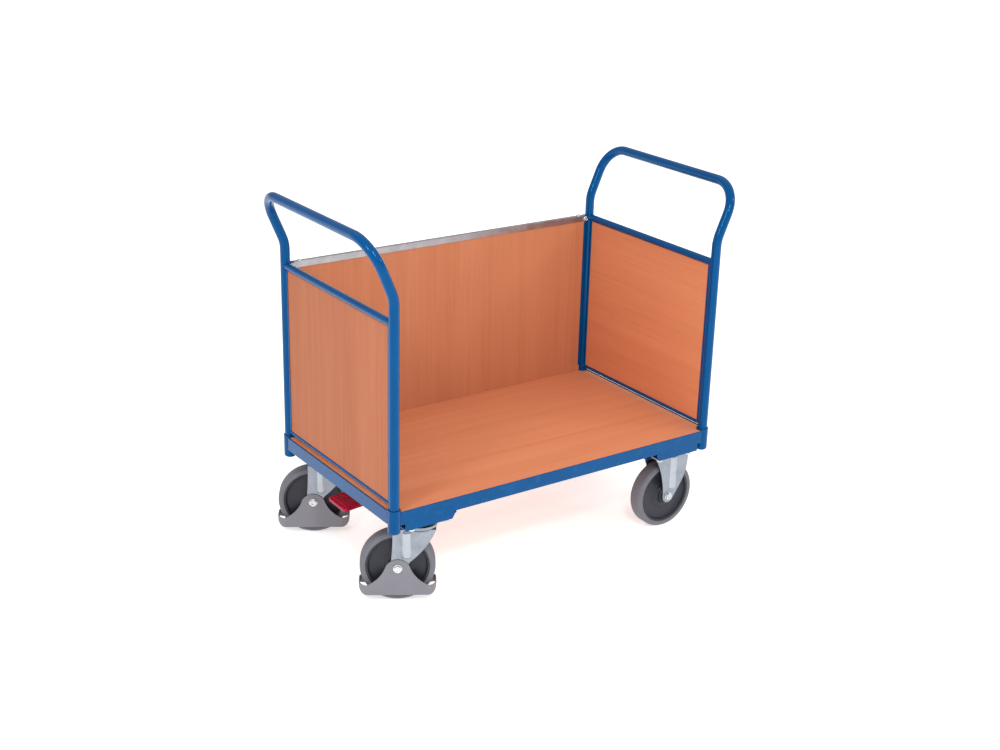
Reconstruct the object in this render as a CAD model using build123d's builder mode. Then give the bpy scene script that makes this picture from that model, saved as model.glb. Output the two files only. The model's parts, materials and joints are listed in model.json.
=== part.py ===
"""Platform trolley with two board ends, a board back, four castors and a central brake.

Millimetres. +Z up. X runs along the trolley: the swivel castors and the brake pedal are at -X, the
fixed castors at +X. Y runs across it: the open loading side is -Y, the back wall is at +Y.
Pieces are drawn round the middle of the platform, on the floor. They are saved with the origin in
the middle of the whole footprint, which lies a little further back because of the turned castors.
"""
from build123d import *
from math import atan2, cos, degrees, hypot, radians, sin
import os

# ---- Overall layout ----
post_spacing_x = 1038.0  # between the post axes along the trolley
post_spacing_y = 573.0  # between the post axes across the trolley
handle_reach = 63.3  # push bar beyond the posts
castor_headroom = 40.0  # from the top of the wheels to the castor plates' top faces
frame_depth = 58.0  # from the castor plates up to the deck
crank_rise = 564.4  # all these rises are measured from the deck
handle_rise = 712.5  # axis of the push bar
top_bar_rise = 499.7
bottom_bar_rise = 15.5

# ---- Tubes ----
hoop_diameter = 26.9
hoop_wall = 2.0
crank_radius = 90.0
handle_radius = 80.0
top_bar_diameter = 20.0
bottom_bar_diameter = 12.0
bar_wall = 1.5

# ---- Platform frame ----
rail_height = 37.0
rail_sheet = 3.0
rail_overhang = 13.5  # rail face beyond the post axis
ledge_reach = 25.0  # how far the deck ledge reaches inwards
lip_reach = 15.0  # how far the bottom lip reaches inwards
deck_thickness = 18.0
deck_gap = 1.0
deck_end_gap = 4.0  # wider gap beside the end rails
socket_wall = 3.1
socket_fit = 0.3
socket_lip = 5.0  # above the rails
socket_depth = 62.0  # below the rail tops
socket_floor = 7.0
socket_round = 7.0
beam_width = 20.0
beam_wall = 2.0

# ---- Castor brackets ----
bracket_length = 150.0
bracket_width = 128.0
bracket_sheet = 4.0
bracket_flange = 3.0
bracket_corner_run = 9.0  # sloped corner at the inner end
bracket_corner_rise = 15.0
bracket_inset = 40.5  # from the end rail's face
bracket_pin_hole = 30.0

# ---- End panels and back wall ----
panel_thickness = 8.0
panel_channel_depth = 8.0
panel_channel_sheet = 1.5
panel_gap = 0.4
back_thickness = 9.0
back_channel_depth = 10.0
back_channel_rise = 21.0  # above the deck
back_rail_height = 18.0
back_rail_rise = 508.0  # top of the back wall above the deck
back_rail_sheet = 1.5
back_screw_head = 11.0
back_screw_head_height = 3.6
back_screw_drop = 11.0  # flange screw below the top of the rail
back_screw_inset = 18.0  # top screw in from the end channel

# ---- Wheels ----
wheel_diameter = 200.0
wheel_width = 46.0
tyre_thickness = 15.5
tyre_round = 11.0
rim_barrel = 7.0
rim_width = 40.0
rim_web = 22.0
rim_step_radius = 40.0
rim_step_width = 30.0
hub_diameter = 52.0
hub_length = 57.0
hub_sleeve = 3.0
bearing_diameter = 35.0
bearing_width = 12.0
axle_diameter = 12.0
axle_fit = 0.05
nut_across = 19.0
nut_height = 9.0
axle_head_height = 6.8
axle_end = 1.8  # axle thread past its nut

# ---- Castor housings ----
plate_length = 135.0
plate_width = 110.0
plate_thickness = 5.0
plate_corner = 8.0
plate_hole_x = 105.0
plate_hole_y = 90.0
plate_bolt_diameter = 10.0
plate_bolt_hole = 11.0
plate_nut_across = 17.0
plate_nut_height = 8.0
plate_bolt_head = 6.4
plate_bolt_end = 1.6  # bolt thread past its nut
fork_gap = 60.0  # inside the legs
fork_sheet = 4.0
fork_tip_radius = 20.0
fork_tip_slope = 45.0  # where the round tip ends on the front edge
fork_back_reach = 14.0  # back edge of a swivel leg behind the axle
fork_back_bow = 0.5  # how far that edge bows outwards
fork_front_reach = 43.0  # top of a swivel leg ahead of the kingpin
fork_ankle_reach = 32.0
fork_ankle_rise = 18.0
fork_knee_reach = 71.0
fork_knee_rise = 59.0
fixed_back_reach = 58.0  # fixed leg: distances from the axle along the trolley
fixed_back_waist = 27.0
fixed_ankle_reach = 35.0
fixed_knee_reach = 60.0
fixed_knee_rise = 65.0
fixed_front_reach = 66.0
fork_rib_reach = 23.0
fixed_rib_reach = 14.0
fork_rib_rise = 35.0  # bottom of the rib above the axle
fork_rib_width = 18.0
fork_rib_round = 7.0
fork_rib_height = 2.5
castor_inset_y = 66.0  # from the long rail's face to the middle of every castor
swivel_inset_x = 122.5  # from the end rail's face to the kingpins
fixed_inset_x = 111.5  # from the end rail's face to the fixed axles
swivel_trail = 57.5
swivel_angle = -31.0  # leading direction of both swivel castors at rest
crown_depth = 15.0
crown_radius = 48.0
crown_bowl = 8.0  # height of the crown's sloped under side
race_radius = 40.0
ball_diameter = 5.6
ball_space = 6.0
ball_count = 16
ball_circle = 31.0
kingpin_diameter = 20.0
kingpin_flange = 34.0
kingpin_flange_thickness = 4.0
kingpin_gap = 0.5

# ---- Foot guards ----
guard_length = 205.0
guard_sheet = 3.0
guard_plan_round = 24.0
guard_corner_round = 22.0
guard_bell_top = 26.0  # all these heights are measured from the axle
guard_bottom = -78.0
guard_end_top = -48.0
guard_shoulder = (31.0, 8.0)  # points of the bell outline: out from the axle and up
guard_flank = (50.0, -26.0)
guard_scoop = (84.0, -50.0)

# ---- Central brake ----
brake_shaft_diameter = 14.0
brake_shaft_offset = 30.0  # shaft axis beside the kingpins
brake_shaft_rise = 22.0  # shaft axis above the castor plates
brake_shaft_gap = 0.4
cam_width = 10.0
cam_drop = 6.0  # finger face below the shaft axis
cam_thickness = 8.0
cam_overreach = 6.0
plunger_diameter = 8.0
plunger_gap = 0.5
plunger_travel = 6.0
shoe_length = 28.0
shoe_width = 26.0
shoe_gap = 0.4
lever_width = 26.0
lever_thickness = 8.0
lever_hub_diameter = 26.0
lever_end_margin = 12.0
lever_knee_gap = 7.0  # knee of the lever behind the pedal
pedal_width = 92.0
pedal_depth = 66.0
pedal_thickness = 9.0
pedal_slope = 5.0
pedal_inset = 2.0  # pedal's front edge behind the end rail's face
pedal_drop = 34.0  # pedal's front edge below the castor plates
pedal_rib_height = 2.0
pedal_rib_width = 4.0
pedal_rib_count = 4

# ---- Places that follow from the sizes above ----
post_x = post_spacing_x / 2
post_y = post_spacing_y / 2
hoop_r = hoop_diameter / 2
socket_r = hoop_r + socket_fit + socket_wall
face_x = post_x + rail_overhang
face_y = post_y + rail_overhang
wheel_r = wheel_diameter / 2
castor_height = wheel_diameter + castor_headroom
deck_top = castor_height + frame_depth
deck_bottom = deck_top - deck_thickness
rail_bottom = deck_top - rail_height
socket_top = deck_top + socket_lip
socket_bottom = deck_top - socket_depth
crank_height = deck_top + crank_rise
handle_height = deck_top + handle_rise
top_bar_height = deck_top + top_bar_rise
bottom_bar_height = deck_top + bottom_bar_rise
back_channel_bottom = deck_top + back_channel_rise
back_rail_top = deck_top + back_rail_rise
bracket_start_x = face_x - bracket_inset - bracket_length  # inner end of each bracket
castor_y = face_y - castor_inset_y
swivel_x = face_x - swivel_inset_x
fixed_x = face_x - fixed_inset_x
rim_r = wheel_r - tyre_thickness
leg_outside = fork_gap / 2 + fork_sheet
guard_outside = leg_outside + guard_sheet
plate_bottom = castor_height - plate_thickness
race_top = plate_bottom - ball_space  # under side of the upper race
crown_top = race_top - ball_space
crown_bottom = crown_top - crown_depth
brake_shaft_height = castor_height + brake_shaft_rise
brake_shaft_x = -(swivel_x - brake_shaft_offset)

# ---- Footprint: from the front sockets to the turned guard of the back swivel castor ----
turn_sin = abs(sin(radians(swivel_angle)))
turn_cos = cos(radians(swivel_angle))
guard_reach = (
    guard_plan_round
    + (guard_length / 2 - guard_plan_round) * turn_sin
    + (guard_outside - guard_plan_round) * turn_cos
)
footprint_front = -(post_y + socket_r)
footprint_back = castor_y + swivel_trail * turn_sin + guard_reach
footprint_middle = (footprint_front + footprint_back) / 2

os.makedirs("parts", exist_ok=True)


def save(part, name):
    """Move a finished piece to the saved origin, label it and write it as its own file."""
    placed = part.moved(Location((0, -footprint_middle, 0)))
    placed.label = name
    export_step(placed, f"parts/{name}.step")


def upright(base, offset=0.0):
    """Plane through a castor's middle: local x leads, local y is up, the normal is the axle."""
    normal = base.x_dir.cross(Vector(0, 0, 1))
    return Plane(origin=base.origin + normal * offset, x_dir=base.x_dir, z_dir=normal)


def across(x, z, y_start):
    """Plane that faces +Y, for sections drawn in X and Z and pushed across the trolley."""
    return Plane(origin=(x, y_start, z), x_dir=(-1, 0, 0), z_dir=(0, 1, 0))


def along(y, z, x_start):
    """Plane that faces +X, for sections drawn in Y and Z and pushed along the trolley."""
    return Plane(origin=(x_start, y, z), x_dir=(0, 1, 0), z_dir=(1, 0, 0))


corner_signs = [(-1, -1), (1, -1), (-1, 1), (1, 1)]
corner_posts = [(sx * post_x, sy * post_y) for sx, sy in corner_signs]


def corner_name(sx, sy):
    """Front is the open side, left is the end with the brake pedal."""
    return ("front" if sy < 0 else "back") + "_" + ("left" if sx < 0 else "right")


# ---- Platform frame ----


def rail_section():
    """Outer web, deck ledge and bottom lip, drawn with the outer face at x = 0."""
    with BuildLine() as outline:
        Polyline(
            (0, rail_bottom),
            (0, deck_top),
            (rail_sheet, deck_top),
            (rail_sheet, deck_bottom),
            (ledge_reach, deck_bottom),
            (ledge_reach, deck_bottom - rail_sheet),
            (rail_sheet, deck_bottom - rail_sheet),
            (rail_sheet, rail_bottom + rail_sheet),
            (lip_reach, rail_bottom + rail_sheet),
            (lip_reach, rail_bottom),
            close=True,
        )
    make_face(outline.edges())


def cut_sockets():
    """Cope the ends of a rail round the corner sockets."""
    with BuildSketch(Plane.XY.offset(socket_bottom)) as sockets:
        with Locations(*corner_posts):
            Circle(socket_r)
    extrude(sockets.sketch, amount=socket_top - socket_bottom, mode=Mode.SUBTRACT)


for side, name in [(-1, "front_rail"), (1, "back_rail")]:
    rail_plane = Plane(origin=(side * post_x, side * face_y, 0), x_dir=(0, -side, 0), z_dir=(-side, 0, 0))
    with BuildPart() as long_rail:
        with BuildSketch(rail_plane):
            rail_section()
        extrude(amount=post_spacing_x)
        cut_sockets()
    save(long_rail.part, name)

for side, name in [(-1, "left_rail"), (1, "right_rail")]:
    rail_plane = Plane(origin=(side * face_x, -side * post_y, 0), x_dir=(-side, 0, 0), z_dir=(0, side, 0))
    with BuildPart() as end_rail:
        with BuildSketch(rail_plane):
            rail_section()
        extrude(amount=post_spacing_y)
        cut_sockets()
        inside_x = face_x - rail_sheet - ledge_reach / 2
        with BuildSketch(Plane.XY.offset(rail_bottom)):
            with Locations((side * inside_x, -face_y), (side * inside_x, face_y)):
                Rectangle(ledge_reach, 2 * ledge_reach)
        extrude(amount=rail_height, mode=Mode.SUBTRACT)
    save(end_rail.part, name)

for (sx, sy), post in zip(corner_signs, corner_posts):
    with BuildPart() as socket:
        with BuildSketch(Plane.XY.offset(socket_bottom)):
            with Locations(post):
                Circle(socket_r)
        extrude(amount=socket_top - socket_bottom)
        fillet(socket.edges().sort_by(Axis.Z)[0], socket_round)
        with BuildSketch(Plane.XY.offset(socket_bottom + socket_floor)):
            with Locations(post):
                Circle(hoop_r + socket_fit)
        extrude(amount=socket_top - socket_bottom - socket_floor, mode=Mode.SUBTRACT)
    save(socket.part, corner_name(sx, sy) + "_socket")

beam_height = deck_bottom - castor_height
beam_half = face_y - ledge_reach
for side, name in [(-1, "left_beam"), (1, "right_beam")]:
    beam_x = side * (bracket_start_x - beam_width / 2)
    with BuildPart() as beam:
        with BuildSketch(across(beam_x, castor_height + beam_height / 2, -beam_half)):
            Rectangle(beam_width, beam_height)
            Rectangle(beam_width - 2 * beam_wall, beam_height - 2 * beam_wall, mode=Mode.SUBTRACT)
        extrude(amount=2 * beam_half)
    save(beam.part, name)


def bracket_flange_plate(sx, outer_face, inward, top, corner_run):
    """Upright flange of a castor bracket; its inner lower corner may be sloped."""
    inner_x = -sx * bracket_start_x
    outer_x = -sx * (bracket_start_x + bracket_length)
    with BuildSketch(across(0, 0, outer_face)) as flange:
        with BuildLine():
            Polyline(
                (inner_x, top),
                (inner_x, castor_height + (bracket_corner_rise if corner_run else 0)),
                (inner_x - sx * corner_run, castor_height),
                (outer_x, castor_height),
                (outer_x, top),
                close=True,
            )
        make_face()
    extrude(flange.sketch, amount=inward * bracket_flange)


for sx, sy in corner_signs:
    outer_y = sy * face_y
    inner_y = sy * (face_y - bracket_width)
    plate_x = -swivel_x if sx < 0 else fixed_x
    sheet_length = bracket_length - bracket_corner_run
    sheet_x = sx * (bracket_start_x + bracket_corner_run + sheet_length / 2)
    with BuildPart() as bracket:
        with BuildSketch(Plane.XY.offset(castor_height)):
            with Locations((sheet_x, (outer_y + inner_y) / 2)):
                Rectangle(sheet_length, bracket_width)
            with Locations((plate_x, sy * castor_y)):
                with GridLocations(plate_hole_x, plate_hole_y, 2, 2):
                    Circle(plate_bolt_hole / 2, mode=Mode.SUBTRACT)
                if sx < 0:
                    Circle(bracket_pin_hole / 2, mode=Mode.SUBTRACT)
        extrude(amount=bracket_sheet)
        bracket_flange_plate(sx, outer_y, -sy, rail_bottom, bracket_corner_run)
        bracket_flange_plate(sx, inner_y, sy, deck_bottom, bracket_corner_run)
        if sx < 0:
            with BuildSketch(across(brake_shaft_x, brake_shaft_height, inner_y - bracket_flange)):
                Circle(brake_shaft_diameter / 2 + brake_shaft_gap)
            extrude(amount=2 * bracket_flange, mode=Mode.SUBTRACT)
    save(bracket.part, corner_name(sx, sy) + "_castor_bracket")

with BuildPart() as deck_board:
    with BuildSketch(Plane.XY.offset(deck_bottom)):
        Rectangle(2 * (face_x - rail_sheet - deck_end_gap), 2 * (face_y - rail_sheet - deck_gap))
        with Locations(*corner_posts):
            Circle(socket_r + deck_gap, mode=Mode.SUBTRACT)
        corner_cut = 2 * (rail_overhang + deck_gap)
        with Locations(*[(sx * face_x, sy * face_y) for sx, sy in corner_signs]):
            Rectangle(corner_cut, corner_cut, mode=Mode.SUBTRACT)
    extrude(amount=deck_thickness)
save(deck_board.part, "deck_board")

# ---- Push hoops and crossbars ----

hoop_start = socket_bottom + socket_floor
for side, name in [(-1, "left_hoop"), (1, "right_hoop")]:
    foot = side * post_x
    hand = side * (post_x + handle_reach)
    with BuildPart() as hoop:
        with BuildLine() as bend:
            FilletPolyline(
                (foot, -post_y, hoop_start),
                (foot, -post_y, crank_height),
                (hand, -post_y, handle_height),
                (hand, post_y, handle_height),
                (foot, post_y, crank_height),
                (foot, post_y, hoop_start),
                radius=[crank_radius, handle_radius, handle_radius, crank_radius],
            )
        with BuildSketch(Plane.XY.offset(hoop_start)):
            with Locations((foot, -post_y)):
                Circle(hoop_r)
                Circle(hoop_r - hoop_wall, mode=Mode.SUBTRACT)
        sweep(path=bend.wires()[0])
    save(hoop.part, name)


def crossbar(x, height, diameter):
    """Straight tube between two posts, coped to them."""
    with BuildPart() as bar:
        with BuildSketch(across(x, height, -post_y)):
            Circle(diameter / 2)
            Circle(diameter / 2 - bar_wall, mode=Mode.SUBTRACT)
        extrude(amount=post_spacing_y)
        with BuildSketch(Plane.XY.offset(height - diameter)):
            with Locations((x, -post_y), (x, post_y)):
                Circle(hoop_r)
        extrude(amount=2 * diameter, mode=Mode.SUBTRACT)
    return bar.part


for side, end in [(-1, "left"), (1, "right")]:
    save(crossbar(side * post_x, top_bar_height, top_bar_diameter), end + "_top_bar")
    save(crossbar(side * post_x, bottom_bar_height, bottom_bar_diameter), end + "_bottom_bar")

# ---- End panels ----

panel_bottom = bottom_bar_height + bottom_bar_diameter / 2
panel_top = top_bar_height - top_bar_diameter / 2
channel_width = panel_thickness + 2 * (panel_gap + panel_channel_sheet)
inner_post_y = post_y - hoop_r

with BuildPart() as panel_channels:
    for sx, sy in corner_signs:
        channel_y = sy * (inner_post_y - panel_channel_depth / 2)
        board_y = channel_y - sy * panel_channel_sheet
        with BuildSketch(Plane.XY.offset(panel_bottom)):
            with Locations((sx * post_x, channel_y)):
                Rectangle(channel_width, panel_channel_depth)
            with Locations((sx * post_x, board_y)):
                Rectangle(panel_thickness + 2 * panel_gap, panel_channel_depth, mode=Mode.SUBTRACT)
        extrude(amount=panel_top - panel_bottom)
save(panel_channels.part, "panel_channels")

panel_half = inner_post_y - panel_channel_sheet - panel_gap
for side, name in [(-1, "left_panel"), (1, "right_panel")]:
    with BuildPart() as end_panel:
        with BuildSketch(Plane.XY.offset(panel_bottom)):
            with Locations((side * post_x, 0)):
                Rectangle(panel_thickness, 2 * panel_half)
        extrude(amount=panel_top - panel_bottom)
    save(end_panel.part, name)

# ---- Back wall ----

inner_post_x = post_x - hoop_r
back_channel_width = back_thickness + 2 * (panel_gap + panel_channel_sheet)
back_rail_width = back_channel_width
back_rail_under = back_rail_top - back_rail_sheet

with BuildPart() as back_end_channels:
    for side in (-1, 1):
        channel_x = side * (inner_post_x - back_channel_depth / 2)
        board_x = channel_x - side * panel_channel_sheet
        with BuildSketch(Plane.XY.offset(back_channel_bottom)):
            with Locations((channel_x, post_y)):
                Rectangle(back_channel_depth, back_channel_width)
            with Locations((board_x, post_y)):
                Rectangle(back_channel_depth, back_thickness + 2 * panel_gap, mode=Mode.SUBTRACT)
        extrude(amount=back_rail_top - back_channel_bottom)
save(back_end_channels.part, "back_end_channels")

back_half = inner_post_x - panel_channel_sheet - panel_gap
with BuildPart() as back_panel:
    with BuildSketch(Plane.XY.offset(deck_top)):
        with Locations((0, post_y)):
            Rectangle(2 * (post_x - socket_r - deck_gap), back_thickness)
    extrude(amount=back_channel_bottom - deck_top)
    with BuildSketch(Plane.XY.offset(back_channel_bottom)):
        with Locations((0, post_y)):
            Rectangle(2 * back_half, back_thickness)
    extrude(amount=back_rail_under - back_channel_bottom)
save(back_panel.part, "back_panel")

rail_half = inner_post_x - back_channel_depth
with BuildPart() as back_top_rail:
    with BuildSketch(along(post_y, back_rail_top - back_rail_height / 2, -rail_half)):
        Rectangle(back_rail_width, back_rail_height)
        with Locations((0, -back_rail_sheet)):
            Rectangle(back_thickness + 2 * panel_gap, back_rail_height, mode=Mode.SUBTRACT)
    extrude(amount=2 * rail_half)
save(back_top_rail.part, "back_top_rail")

flange_screw_x = inner_post_x - back_channel_depth / 2
flange_face_y = post_y - back_channel_width / 2
with BuildPart() as back_screws:
    for side in (-1, 1):
        with BuildSketch(across(side * flange_screw_x, back_rail_top - back_screw_drop, flange_face_y)):
            Circle(back_screw_head / 2)
        extrude(amount=-back_screw_head_height)
        with BuildSketch(Plane.XY.offset(back_rail_top)):
            with Locations((side * (rail_half - back_screw_inset), post_y)):
                Circle(back_screw_head / 2)
        extrude(amount=back_screw_head_height)
save(back_screws.part, "back_wall_screws")

# ---- Wheels ----


def wheel_plane(base, wheel_offset):
    """Plane on the wheel's middle: local x leads, local y is the axle, the normal is down."""
    centre = base.origin + base.x_dir * wheel_offset + Vector(0, 0, wheel_r)
    axle = Vector(0, 0, 1).cross(base.x_dir)
    return Plane(origin=centre, x_dir=base.x_dir, z_dir=base.x_dir.cross(axle))


def make_tyre(place):
    """Rubber ring with rounded shoulders."""
    with BuildPart() as tyre:
        with BuildSketch(place):
            with Locations((wheel_r - tyre_thickness / 2, 0)):
                Rectangle(tyre_thickness, wheel_width)
        revolve(axis=Axis(place.origin, place.y_dir))
        fillet(tyre.edges().filter_by(GeomType.CIRCLE).group_by(SortBy.RADIUS)[-1], tyre_round)
    return tyre.part


def make_rim(place):
    """Plastic wheel body: barrel, stepped web and hub, with a bearing seat in each end."""
    half_hub = hub_length / 2
    hub_r = hub_diameter / 2
    bore_r = bearing_diameter / 2
    with BuildPart() as rim:
        with BuildSketch(place):
            with Locations((rim_r - rim_barrel / 2, 0)):
                Rectangle(rim_barrel, rim_width)
            with Locations((rim_r / 2, 0)):
                Rectangle(rim_r, rim_web)
            with Locations((rim_step_radius / 2, 0)):
                Rectangle(rim_step_radius, rim_step_width)
            with Locations((hub_r / 2, 0)):
                Rectangle(hub_r, hub_length)
            with Locations((bore_r / 2, 0)):
                Rectangle(bore_r, hub_length, mode=Mode.SUBTRACT)
        revolve(axis=Axis(place.origin, place.y_dir))
        shoulder = half_hub - bearing_width
        with BuildSketch(Plane(origin=place.origin - place.y_dir * shoulder, z_dir=place.y_dir)):
            Circle(bore_r)
            Circle(bore_r - hub_sleeve, mode=Mode.SUBTRACT)
        extrude(amount=2 * shoulder)
    return rim.part


def make_bearings(place):
    """One ball bearing pressed into each end of the hub."""
    with BuildPart() as bearings:
        for start in (-hub_length / 2, hub_length / 2 - bearing_width):
            with BuildSketch(Plane(origin=place.origin + place.y_dir * start, z_dir=place.y_dir)):
                Circle(bearing_diameter / 2)
                Circle(axle_diameter / 2 + axle_fit, mode=Mode.SUBTRACT)
            extrude(amount=bearing_width)
    return bearings.part


def add_axle(place, half_grip):
    """Add a bolt through the housing with a domed head and a nut to the part being built."""
    head_plane = Plane(origin=place.origin - place.y_dir * half_grip, z_dir=-place.y_dir)
    nut_plane = Plane(origin=place.origin + place.y_dir * half_grip, z_dir=place.y_dir)
    shank_plane = Plane(origin=head_plane.origin, z_dir=place.y_dir)
    with BuildSketch(head_plane) as head:
        RegularPolygon(nut_across / 2, 6, major_radius=False)
    extrude(head.sketch, amount=axle_head_height)
    with BuildSketch(shank_plane) as shank:
        Circle(axle_diameter / 2)
    extrude(shank.sketch, amount=2 * half_grip + nut_height + axle_end)
    with BuildSketch(nut_plane) as nut:
        RegularPolygon(nut_across / 2, 6, major_radius=False)
    extrude(nut.sketch, amount=nut_height)


# ---- Castor housings ----


def make_top_plate(place):
    """Plate of a swivel head, with the upper ball race pressed below it."""
    with BuildPart() as top_plate:
        with BuildSketch(place.offset(plate_bottom)):
            RectangleRounded(plate_length, plate_width, plate_corner)
            with GridLocations(plate_hole_x, plate_hole_y, 2, 2):
                Circle(plate_bolt_hole / 2, mode=Mode.SUBTRACT)
        extrude(amount=plate_thickness)
        with BuildSketch(place.offset(race_top)):
            Circle(race_radius)
        extrude(amount=plate_bottom - race_top)
        with BuildSketch(place.offset(race_top)):
            Circle(kingpin_diameter / 2)
        extrude(amount=castor_height - race_top, mode=Mode.SUBTRACT)
    return top_plate.part


def leg_outline(axle_x, back, front):
    """Side view of a fork leg: back edge from the top down, round tip, front edge back up."""
    tip_back = (axle_x - fork_tip_radius, wheel_r)
    tip_slope = radians(fork_tip_slope)
    tip_front = (axle_x + fork_tip_radius * cos(tip_slope), wheel_r - fork_tip_radius * sin(tip_slope))
    back_top, back_middle = back
    ankle, knee, front_top = front
    with BuildLine() as outline:
        ThreePointArc(back_top, back_middle, tip_back)
        ThreePointArc(tip_back, (axle_x, wheel_r - fork_tip_radius), tip_front)
        Line(tip_front, ankle)
        ThreePointArc(ankle, knee, front_top)
        Line(front_top, back_top)
    make_face(outline.edges())


def cut_fork(base, axle_x, back_x, front_x, under_crown):
    """Open the space for the wheel between the legs and drill them for the axle."""
    with BuildSketch(upright(base, -fork_gap / 2)) as wheel_space:
        with Locations(((back_x + front_x) / 2, under_crown / 2)):
            Rectangle(2 * (front_x - back_x), under_crown)
    extrude(wheel_space.sketch, amount=fork_gap, mode=Mode.SUBTRACT)
    with BuildSketch(upright(base, -leg_outside)) as axle_hole:
        with Locations((axle_x, wheel_r)):
            Circle(axle_diameter / 2)
    extrude(axle_hole.sketch, amount=2 * leg_outside, mode=Mode.SUBTRACT)


def add_leg_ribs(base, rib_x, rib_bottom, rib_top):
    """Pressed stiffening rib on the outside of both legs."""
    for start in (-leg_outside - fork_rib_height, leg_outside):
        with BuildSketch(upright(base, start)) as rib:
            with Locations((rib_x, (rib_bottom + rib_top) / 2)):
                RectangleRounded(fork_rib_width, rib_top - rib_bottom, fork_rib_round)
        extrude(rib.sketch, amount=fork_rib_height)


def make_swivel_fork(base):
    """Pressed fork: a crown with the lower ball race, and two legs that sweep back to the axle."""
    axle_x = -swivel_trail
    leg_top = crown_bottom + fork_sheet
    back_x = axle_x - fork_back_reach
    with BuildPart() as fork:
        with BuildSketch(upright(base, -leg_outside)):
            leg_outline(
                axle_x,
                [(back_x, leg_top), (back_x - fork_back_bow, wheel_r + fork_knee_rise)],
                [
                    (axle_x + fork_ankle_reach, wheel_r + fork_ankle_rise),
                    (axle_x + fork_knee_reach, wheel_r + fork_knee_rise),
                    (fork_front_reach, leg_top),
                ],
            )
        extrude(amount=2 * leg_outside)
        cut_fork(base, axle_x, back_x, fork_front_reach, crown_bottom)
        with BuildSketch(upright(base)) as crown_half:
            with BuildLine() as crown_outline:
                Polyline(
                    (0, crown_bottom),
                    (race_radius, crown_bottom),
                    (crown_radius, crown_bottom + crown_bowl),
                    (crown_radius, crown_top),
                    (0, crown_top),
                    close=True,
                )
            make_face(crown_outline.edges())
        revolve(crown_half.sketch, axis=Axis(base.origin, (0, 0, 1)))
        with BuildSketch(base.offset(crown_bottom)):
            Circle(kingpin_diameter / 2 + kingpin_gap)
        extrude(amount=crown_depth, mode=Mode.SUBTRACT)
        add_leg_ribs(base, axle_x + fork_rib_reach, wheel_r + fork_rib_rise, crown_bottom)
    return fork.part


def make_fixed_fork(base):
    """Fixed castor housing: top plate with two legs that narrow down to the axle."""
    leg_top = plate_bottom
    with BuildPart() as fork:
        with BuildSketch(upright(base, -leg_outside)):
            leg_outline(
                0,
                [(-fixed_back_reach, leg_top), (-fixed_back_waist, wheel_r + fork_knee_rise)],
                [
                    (fixed_ankle_reach, wheel_r + fork_ankle_rise),
                    (fixed_knee_reach, wheel_r + fixed_knee_rise),
                    (fixed_front_reach, leg_top),
                ],
            )
        extrude(amount=2 * leg_outside)
        cut_fork(base, 0, -fixed_back_reach, fixed_front_reach, leg_top - fork_sheet)
        with BuildSketch(base.offset(plate_bottom)):
            RectangleRounded(plate_length, plate_width, plate_corner)
            with GridLocations(plate_hole_x, plate_hole_y, 2, 2):
                Circle(plate_bolt_hole / 2, mode=Mode.SUBTRACT)
        extrude(amount=plate_thickness)
        add_leg_ribs(base, fixed_rib_reach, wheel_r + fork_rib_rise, leg_top - 2 * fork_sheet)
    return fork.part


def make_guard(base):
    """Foot guard round the lower wheel: bell-shaped sides joined by a band at each end."""
    wheel_middle = base.origin - base.x_dir * swivel_trail + Vector(0, 0, wheel_r)
    middle = Plane(origin=wheel_middle, x_dir=base.x_dir, z_dir=(0, 0, 1))
    end_x = guard_length / 2
    with BuildPart() as guard:
        with BuildSketch(middle.offset(guard_bottom)):
            RectangleRounded(guard_length, 2 * guard_outside, guard_plan_round)
            inside_length = guard_length - 2 * guard_sheet
            inside_round = guard_plan_round - guard_sheet
            RectangleRounded(inside_length, 2 * leg_outside, inside_round, mode=Mode.SUBTRACT)
        extrude(amount=guard_bell_top - guard_bottom)
        with BuildSketch(upright(middle, -guard_outside)):
            with BuildLine() as half:
                Line((0, guard_bottom), (end_x - guard_corner_round, guard_bottom))
                RadiusArc(
                    (end_x - guard_corner_round, guard_bottom),
                    (end_x, guard_bottom + guard_corner_round),
                    -guard_corner_round,
                )
                Line((end_x, guard_bottom + guard_corner_round), (end_x, guard_end_top))
                Line((end_x, guard_end_top), guard_scoop)
                ThreePointArc(guard_scoop, guard_flank, guard_shoulder)
                ThreePointArc(guard_shoulder, (0, guard_bell_top), (-guard_shoulder[0], guard_shoulder[1]))
                mirror(half.edges()[:-1], about=Plane.YZ)
            make_face()
        extrude(amount=2 * guard_outside, mode=Mode.INTERSECT)
        with BuildSketch(upright(middle, -guard_outside)):
            Circle(axle_diameter / 2)
        extrude(amount=2 * guard_outside, mode=Mode.SUBTRACT)
    return guard.part


def make_plunger(base):
    """Brake push rod in the hollow kingpin, with a shoe that is curved to the tyre."""
    shoe_top = crown_bottom - 2 * kingpin_gap - kingpin_flange_thickness
    rod_top = brake_shaft_height - cam_drop - plunger_gap
    shoe_depth = wheel_r / 2
    with BuildPart() as plunger:
        with BuildSketch(upright(base, -shoe_width / 2)):
            with Locations((0, shoe_top - shoe_depth / 2)):
                Rectangle(shoe_length, shoe_depth)
            with Locations((-swivel_trail, wheel_r + plunger_travel)):
                Circle(wheel_r + shoe_gap, mode=Mode.SUBTRACT)
        extrude(amount=shoe_width)
        with BuildSketch(base.offset(shoe_top)):
            Circle(plunger_diameter / 2)
        extrude(amount=rod_top - shoe_top)
    return plunger.part


def make_wheel(base, wheel_offset, name):
    """Write the tyre, rim and bearings of one castor wheel."""
    place = wheel_plane(base, wheel_offset)
    save(make_tyre(place), name + "_tyre")
    save(make_rim(place), name + "_rim")
    save(make_bearings(place), name + "_bearings")


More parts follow.
